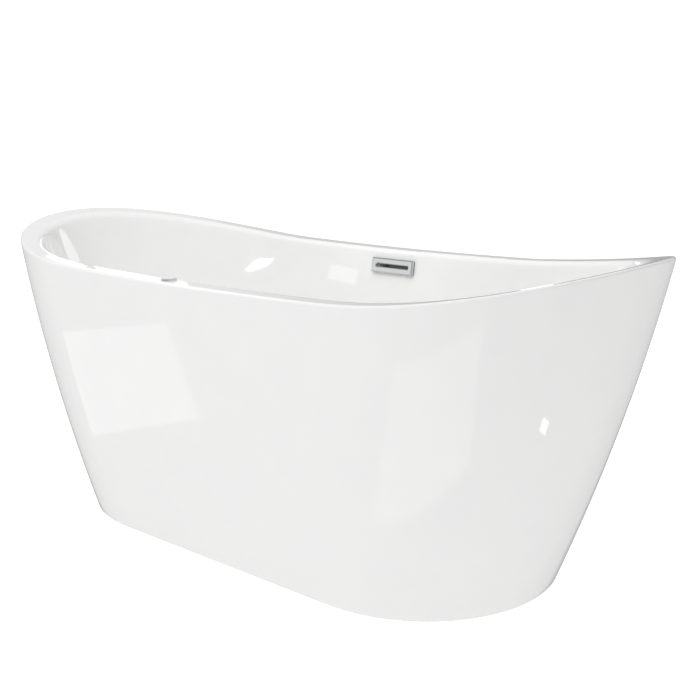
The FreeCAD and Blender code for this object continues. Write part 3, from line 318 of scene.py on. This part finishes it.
def surface(name, shade, light, grain_mm, bump_mm, stretch=(1, 1, 1), **shader):
    """A principled surface whose colour and relief follow a noise of a real size."""
    material = bpy.data.materials.new(name)
    material.use_nodes = True
    tree = material.node_tree
    principled = tree.nodes["Principled BSDF"]
    for key, value in shader.items():
        principled.inputs[key.replace("_", " ")].default_value = value
    place = add_node(material, "ShaderNodeTexCoord")
    scaled = add_node(material, "ShaderNodeMapping", {"Vector": place.outputs["Object"]},
                      Scale=stretch)
    grain = add_node(material, "ShaderNodeTexNoise", {"Vector": scaled.outputs["Vector"]},
                     Scale=1 / (grain_mm * MM), Detail=3.0, Roughness=0.5)
    colour = add_node(material, "ShaderNodeMix", {"Factor": grain.outputs["Fac"]},
                      data_type="RGBA")
    colour.inputs[MIX_DARK].default_value = linear(shade)
    colour.inputs[MIX_LIGHT].default_value = linear(light)
    relief = add_node(material, "ShaderNodeBump", {"Height": grain.outputs["Fac"]},
                      Strength=1.0, Distance=bump_mm * MM)
    tree.links.new(colour.outputs[MIXED], principled.inputs["Base Color"])
    tree.links.new(relief.outputs["Normal"], principled.inputs["Normal"])
    return material


# Cast acrylic sheet, vacuum formed: a deep even gloss with a slow waviness from the forming.
ACRYLIC = surface("vacuum_formed_sanitary_acrylic", "EFEFEF", "F3F3F2", 90, 0.02,
                  Roughness=0.05, IOR=1.49)
# Bright nickel and chrome over polished brass: a mirror with faint polishing marks.
CHROME = surface("polished_chrome_plate", "D2D3D5", "DADBDC", 3, 0.0006, (1, 1, 6),
                 Roughness=0.07, Metallic=1.0)
# Turned and left bare: warm yellow with fine tool rings.
BRASS = surface("turned_brass", "A98B4B", "BFA15C", 1.2, 0.004, (1, 1, 8),
                Roughness=0.28, Metallic=1.0)
# Zinc plating with a clear passivate: pale, slightly blue and cloudy.
ZINC = surface("zinc_plated_steel", "A9AEB3", "C3C7CA", 6, 0.003, Roughness=0.36, Metallic=1.0)
# Sprayed primer on welded tube: flat grey with a light orange peel.
PRIMER = surface("grey_primed_steel", "54575A", "62656A", 2.5, 0.03, Roughness=0.55)
# Pressed wood chips 3 to 10 mm long under resin.
CHIPBOARD = surface("resin_bonded_chipboard", "8E6A41", "C8A574", 5, 0.12, (1, 1, 2),
                    Roughness=0.8)
# Cured sealant, tooled by hand.
SEALANT = surface("cured_adhesive_bead", "D6D2C6", "E4E1D8", 12, 0.08, Roughness=0.5)
# Moulded rubber: nearly black with a fine matt skin.
RUBBER = surface("moulded_nitrile_rubber", "161616", "232323", 1.5, 0.01, Roughness=0.7)
# Moulded nylon with a spark-eroded texture.
NYLON = surface("moulded_black_nylon", "141416", "202023", 0.9, 0.02, Roughness=0.48)
# White waste fittings in moulded polypropylene: waxy and slightly mottled.
POLYPROPYLENE = surface("moulded_polypropylene", "DDDDD8", "EAEAE6", 4, 0.015, Roughness=0.34)

FINISHES = {
    "sanitary_acrylic": ACRYLIC, "bond": SEALANT, "board": CHIPBOARD, "frame_steel": PRIMER,
    "plated_steel": ZINC, "foot_plastic": NYLON, "chrome": CHROME, "brass": BRASS,
    "rubber": RUBBER, "drain_plastic": POLYPROPYLENE,
}


def dress_nodes():
    """Give each carried-over node the finish of its slot."""
    for part in frame["record"]["subparts"]:
        mesh = nodes[part["node"]].data
        mesh.materials.clear()
        mesh.materials.append(FINISHES[part["material_slot"]])


# ---------------------------------------------------------------- shells


def skirt():
    """The one-piece skirt, from its turned-in foot up to the lip under the rim."""
    wall_rows = 32
    inner_rows = 12
    foot_top = FLOOR_GAP + SKIRT_WALL
    foot_inset = SKIRT_WALL + SKIRT_RETURN
    flange_inset = SKIRT_WALL + SKIRT_FLANGE

    def up_wall(share, inset, bottom, drop):
        def row(point):
            top = below_crest(point, outer_form, drop, -inset).z / MM
            return at_height(point, outer_form, bottom + (top - bottom) * share, -inset)
        return row

    def level(height, inset):
        return lambda point: at_height(point, outer_form, height, -inset)

    def under_rim(drop, inset):
        return lambda point: below_crest(point, outer_form, drop, -inset)

    rows = [level(FLOOR_GAP, FOOT_ROUND), level(FLOOR_GAP + FOOT_MIDWAY, FOOT_MIDWAY),
            level(FLOOR_GAP + FOOT_ROUND, 0)]
    rows += [up_wall(step / wall_rows, 0, FLOOR_GAP + FOOT_ROUND, LIP_DROP)
             for step in range(1, wall_rows + 1)]
    rows += [under_rim(LIP_DROP, LIP_THICK), under_rim(SKIRT_DROP, LIP_THICK),
             under_rim(SKIRT_DROP, flange_inset),
             under_rim(SKIRT_DROP + SKIRT_WALL, flange_inset)]
    rows += [up_wall(1 - step / inner_rows, SKIRT_WALL, foot_top, SKIRT_DROP + SKIRT_WALL)
             for step in range(inner_rows + 1)]
    rows += [level(foot_top, foot_inset), level(FLOOR_GAP, foot_inset)]
    piece = finished(lofted(rows), "skirt_shell", "tub", "sanitary_acrylic", ACRYLIC,
                     "outer_skirt")
    button = middle("button_housing")
    cutters = [drill(NOTCH_RADIUS * MM, Vector((button.x, button.y, NOTCH_LOW * MM)),
                     Vector((button.x, button.y, NOTCH_HIGH * MM)))]
    for corner in ("front_left", "front_right", "back_right", "back_left"):
        low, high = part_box(f"skirt_bracket_{corner}")
        side = math.copysign(1, low.y + high.y)
        reach = high.y if side > 0 else low.y
        place = Vector(((low.x + high.x) / 2, reach - side * SCREW_FROM_EDGE * MM, 0))
        cutters.append(drill(SCREW_RADIUS * MM, place, place + Vector((0, 0, SCREW_HIGH * MM))))
    cut_away(piece, cutters)


def rim_to_wall(turn):
    """A step round the rim's inner edge: how far out of the wall, and how far below the crest."""
    tilt = lean(basin_form, MID_HEIGHT)
    radius = RIM_INNER_ROUND
    centre = radius * (1 - math.sin(tilt)) / math.cos(tilt)
    angle = (math.pi / 2 - tilt) * turn
    drop = radius * (1 - math.cos(angle))
    return centre - radius * math.sin(angle) + drop * math.tan(tilt), drop


def wall_to_floor(turn, form, bottom, radius):
    """A step round the curve from a wall to the floor: how far inside it, and its height."""
    tilt = lean(form, bottom + radius)
    angle = (math.pi / 2 - tilt) * turn
    height = bottom + radius * (1 - math.cos(angle))
    centre = radius * (1 - math.sin(tilt)) / math.cos(tilt)
    inside = centre - radius * math.sin(angle) + (height - bottom) * math.tan(tilt)
    return inside, height


def basin():
    """The basin with its rim: out round the rim, down the wall, across the floor and back under."""
    outer_turns, inner_turns, floor_turns = 8, 10, 14
    top_rows, wall_rows, floor_rows, back_rows = 4, 34, 12, 14
    under = BASIN_FLOOR - BASIN_WALL
    round_under = BASIN_ROUND + BASIN_WALL

    def outer_edge(angle):
        inset = RIM_OUTER_ROUND * (1 - math.cos(angle))
        drop = RIM_OUTER_ROUND * (1 - math.sin(angle))
        return lambda point: below_crest(point, outer_form, drop, -inset)

    def top(share):
        def row(point):
            near = below_crest(point, outer_form, 0, -RIM_OUTER_ROUND)
            far = below_crest(point, basin_form, 0, rim_to_wall(0)[0])
            place = near.lerp(far, share)
            place.z = crest(place.x / MM) * MM
            return place
        return row

    def inner_edge(turn):
        outset, drop = rim_to_wall(turn)
        return lambda point: below_crest(point, basin_form, drop, outset)

    def wall(share):
        drop = rim_to_wall(1)[1]
        foot = wall_to_floor(1, basin_form, BASIN_FLOOR, BASIN_ROUND)[1]

        def row(point):
            start = below_crest(point, basin_form, drop).z / MM
            return at_height(point, basin_form, start + (foot - start) * share)
        return row

    def floor_edge(turn, form, bottom, radius):
        inside, height = wall_to_floor(turn, form, bottom, radius)
        return lambda point: at_height(point, form, height, -inside)

    def flat(share, form, bottom, radius):
        inside, height = wall_to_floor(0, form, bottom, radius)

        def row(point):
            edge = at_height(point, form, height, -inside)
            drain = Vector((edge.x, edge.y, 0)).normalized() * DRAIN_RADIUS * MM
            drain.z = edge.z
            return edge.lerp(drain, share)
        return row

    def back(share):
        foot = wall_to_floor(1, basin_back, under, round_under)[1]

        def row(point):
            end = below_crest(point, basin_back, RIM_THICK).z / MM
            return at_height(point, basin_back, foot + (end - foot) * share)
        return row

    rows = [lambda point: below_crest(point, outer_form, RIM_THICK)]
    rows += [outer_edge(math.pi / 2 * step / outer_turns) for step in range(outer_turns + 1)]
    rows += [top(step / top_rows) for step in range(1, top_rows)]
    rows += [inner_edge(step / inner_turns) for step in range(inner_turns + 1)]
    rows += [wall(step / wall_rows) for step in range(1, wall_rows + 1)]
    rows += [floor_edge(1 - step / floor_turns, basin_form, BASIN_FLOOR, BASIN_ROUND)
             for step in range(1, floor_turns + 1)]
    rows += [flat(step / floor_rows, basin_form, BASIN_FLOOR, BASIN_ROUND)
             for step in range(1, floor_rows + 1)]
    rows += [flat(1 - step / floor_rows, basin_back, under, round_under)
             for step in range(floor_rows + 1)]
    rows += [floor_edge(step / floor_turns, basin_back, under, round_under)
             for step in range(1, floor_turns + 1)]
    rows += [back(step / back_rows) for step in range(1, back_rows + 1)]
    piece = finished(lofted(rows), "basin_shell", "tub", "sanitary_acrylic", ACRYLIC,
                     "inner_basin")
    button = middle("button_housing")
    cover = middle("overflow_cover")
    cut_away(piece, [
        drill(SLEEVE_RADIUS * MM, Vector((button.x, button.y, SLEEVE_LOW * MM)),
              Vector((button.x, button.y, SLEEVE_HIGH * MM))),
        drill(WINDOW_RADIUS * MM, Vector((0, cover.y - WINDOW_FRONT * MM, cover.z)),
              Vector((0, cover.y + WINDOW_BACK * MM, cover.z)), WINDOW_STRETCH * MM),
    ])


def bond():
    """The adhesive between the rim and the skirt's flange."""
    outer, inner = BOND_INSET, SKIRT_WALL + SKIRT_FLANGE - BOND_INSET
    corners = [(RIM_THICK, outer), (SKIRT_DROP, outer), (SKIRT_DROP, inner), (RIM_THICK, inner)]
    rows = [lambda point, drop=drop, inset=inset: below_crest(point, outer_form, drop, -inset)
            for drop, inset in corners]
    finished(lofted(rows), "bond_bead", "tub", "bond", SEALANT, "rim_bond")


# ---------------------------------------------------------------- camera


CAMERA = Vector((1.5733, -1.7590, 0.9739))
TARGET = Vector((0.1198, 0.0, 0.4552))
LENS, SENSOR = 52.911, 36    # in millimetres


def camera():
    data = bpy.data.cameras.new("camera")
    data.lens = LENS
    data.sensor_width = SENSOR
    item = bpy.data.objects.new("camera", data)
    bpy.context.scene.collection.objects.link(item)
    item.location = CAMERA
    item.rotation_mode = "QUATERNION"
    item.rotation_quaternion = (TARGET - CAMERA).to_track_quat("-Z", "Y")
    bpy.context.scene.camera = item


# ---------------------------------------------------------------- studio


AMBIENT = 0.50               # what the room gives matt surfaces
MIRRORED = 0.52              # what glossy ones see of it
BACKDROP = 1.1               # what shows behind the tub
FLOOR_REACH = 12
FLOOR_GLOW = 0.92            # brings the floor up to the backdrop

CARD_AWAY = 1.6              # from a wall to a card that it reflects
STRIP_AWAY, STRIP_TALL = 2, 0.2
COVER_FACE = Vector((0, 0.32, 0.597))
COVER_VIEW = Vector((-0.6, -0.79, 0.14))    # where the overflow's cover mirrors the camera's ray
COVER_AWAY, COVER_CARD = 2, 0.5
FLAG_AWAY, FLAG_SLOPE = 3, -0.32


def emitting(name, strength):
    material = bpy.data.materials.new(name)
    material.use_nodes = True
    material.node_tree.nodes.clear()
    glow = add_node(material, "ShaderNodeEmission", Color=linear("FFFFFF"), Strength=strength)
    add_node(material, "ShaderNodeOutputMaterial", {"Surface": glow.outputs["Emission"]})
    return material


def card(name, place, facing, width, height, strength):
    """A bright or a dark card that only glossy surfaces see."""
    mesh = bmesh.new()
    bmesh.ops.create_grid(mesh, x_segments=1, y_segments=1, size=0.5)
    bmesh.ops.scale(mesh, vec=(width, height, 1), verts=mesh.verts)
    turn = facing.to_track_quat("Z", "Y").to_matrix().to_4x4()
    bmesh.ops.transform(mesh, matrix=Matrix.Translation(place) @ turn, verts=mesh.verts)
    data = bpy.data.meshes.new(name)
    mesh.to_mesh(data)
    mesh.free()
    item = bpy.data.objects.new(name, data)
    bpy.context.scene.collection.objects.link(item)
    data.materials.append(emitting(name, strength))
    item.visible_camera = False
    item.visible_diffuse = False
    item.visible_shadow = False


def wall_place(x, height, form, side, outwards):
    """A point of a wall and its normal, from its place along the tub and its height."""
    half_length, half_width = form(height)
    over = max(abs(x) - (half_length - half_width), 0)
    y = side * math.sqrt(half_width ** 2 - over ** 2)
    flat = Vector((math.copysign(over, x), y, 0)).normalized()
    tilt = lean(form, height, abs(flat.x))
    normal = Vector((flat.x * math.cos(tilt), flat.y * math.cos(tilt), -math.sin(tilt)))
    return Vector((x, y, height)) * MM, normal * (1 if outwards else -1)


def rim_place(x):
    """A point in the middle of the near rim's band and its normal."""
    height = crest(x)
    half_length, half_width = outer_form(height)
    over = max(abs(x) - (half_length - half_width), 0)
    y = RIM_BAND / 2 - math.sqrt(half_width ** 2 - over ** 2)
    return Vector((x, y, height)) * MM, Vector((height - crest(x + 1), 0, 1)).normalized()


def reflected(name, spot, width, tall, strength, away=CARD_AWAY):
    """Place a card where the camera sees its reflection at a point with a given normal."""
    place, normal = spot
    ray = (place - CAMERA).normalized()
    mirror = ray - 2 * ray.dot(normal) * normal
    card(name, place + mirror * away, -mirror, width, tall, strength)


def lamp(name, place, aim, size, power):
    """A soft square light that doesn't show in glossy surfaces."""
    data = bpy.data.lights.new(name, "AREA")
    data.shape = "SQUARE"
    data.size = size
    data.energy = power
    item = bpy.data.objects.new(name, data)
    bpy.context.scene.collection.objects.link(item)
    item.location = place
    item.rotation_mode = "QUATERNION"
    item.rotation_quaternion = (Vector(aim) - Vector(place)).to_track_quat("-Z", "Y")
    item.visible_glossy = False
    item.visible_camera = False


def room():
    """A white backdrop that glossy surfaces see as a grey room."""
    world = bpy.data.worlds.new("studio")
    world.use_nodes = True
    world.node_tree.nodes.clear()
    path = add_node(world, "ShaderNodeLightPath")
    matt = add_node(world, "ShaderNodeBackground", Strength=AMBIENT)
    gloss = add_node(world, "ShaderNodeBackground", Strength=MIRRORED)
    seen = add_node(world, "ShaderNodeBackground", Strength=BACKDROP)
    for node in (matt, gloss, seen):
        node.inputs["Color"].default_value = (1, 1, 1, 1)
    lit = add_node(world, "ShaderNodeMixShader", {"Fac": path.outputs["Is Glossy Ray"]})
    world.node_tree.links.new(matt.outputs[0], lit.inputs[1])
    world.node_tree.links.new(gloss.outputs[0], lit.inputs[2])
    whole = add_node(world, "ShaderNodeMixShader", {"Fac": path.outputs["Is Camera Ray"]})
    world.node_tree.links.new(lit.outputs[0], whole.inputs[1])
    world.node_tree.links.new(seen.outputs[0], whole.inputs[2])
    add_node(world, "ShaderNodeOutputWorld", {"Surface": whole.outputs[0]})
    bpy.context.scene.world = world


def floor():
    """A plain pale floor, which glossy surfaces look past to the cards below it."""
    mesh = bmesh.new()
    bmesh.ops.create_grid(mesh, x_segments=1, y_segments=1, size=FLOOR_REACH)
    data = bpy.data.meshes.new("floor")
    mesh.to_mesh(data)
    mesh.free()
    item = bpy.data.objects.new("floor", data)
    bpy.context.scene.collection.objects.link(item)
    material = bpy.data.materials.new("white_paper_sweep")
    material.use_nodes = True
    tree = material.node_tree
    principled = tree.nodes["Principled BSDF"]
    principled.inputs["Base Color"].default_value = linear("9A9A9A")
    principled.inputs["Roughness"].default_value = 1.0
    principled.inputs["Specular IOR Level"].default_value = 0.0
    principled.inputs["Emission Color"].default_value = (1, 1, 1, 1)
    principled.inputs["Emission Strength"].default_value = FLOOR_GLOW
    data.materials.append(material)
    item.visible_glossy = False


def studio():
    """Backdrop and floor, then the lamps, then the cards that the tub's surfaces mirror."""
    room()
    floor()
    # a lamp's place, what it is aimed at, its width in metres and its power in watts
    lamp("key", (-2.6, -2.4, 1.9), (-0.3, 0, 0.4), 1.6, 3)
    lamp("fill", (0.4, -3.0, 0.5), (0.2, 0, 0.35), 1.6, 0.6)
    lamp("overhead", (0.0, 0.0, 3.2), (0, 0, 0), 2.0, 26)
    lamp("bank", (-0.1, -1.8, 3.0), (0, 0.1, 0.5), 2.0, 26)
    lamp("glow", (0.0, -0.25, 1.05), (-0.02, 0.3, 0.45), 0.4, 0.7)
    # where a card is seen in the wall, in millimetres, then its width, height and strength
    outside = [("left_softbox", -290, 385, 0.62, 0.50, 1.3),
               ("middle_softbox", 576, 424, 1.5, 0.8, 1.2),
               ("small_lamp", 729, 432, 0.14, 0.06, 7)]
    for name, x, height, width, tall, strength in outside:
        reflected(name, wall_place(x, height, outer_form, -1, True), width, tall, strength)
    # the same with the side of the basin, and last how far away the card hangs
    inside = [("basin_softbox", -165, 560, 1, 0.08, 0.04, 2.5, 0.15),
              ("basin_lamp", -478, 557, 1, 0.009, 0.034, 9, 0.12),
              ("end_softbox", -738, 616, -1, 0.40, 0.14, 2.5, 1.6)]
    for name, x, height, side, width, tall, strength, away in inside:
        spot = wall_place(x, height, basin_form, side, False)
        reflected(name, spot, width, tall, strength, away)
    # where along the near rim, then the strip's width and strength
    on_rim = [("button_softbox", -66, 0.16, 1.0), ("rim_strip", -185, 0.26, 1.7),
              ("rim_end_strip", -420, 0.22, 1.7), ("rim_right_strip", 735, 0.12, 1.7)]
    for name, x, width, strength in on_rim:
        reflected(name, rim_place(x), width, STRIP_TALL, strength, STRIP_AWAY)
    card("cover_softbox", COVER_FACE + COVER_VIEW * COVER_AWAY, -COVER_VIEW, COVER_CARD,
         COVER_CARD, 0.95)
    # low behind the tub, where the walls that turn away from the camera mirror it
    away = (TARGET - CAMERA).normalized()
    away.z = FLAG_SLOPE
    card("dark_flag", TARGET + away.normalized() * FLAG_AWAY, -away, 4.2, 4.6, 0.3)
    bpy.context.scene.view_settings.view_transform = "Standard"


dress_nodes()
skirt()
basin()
bond()
camera()
studio()
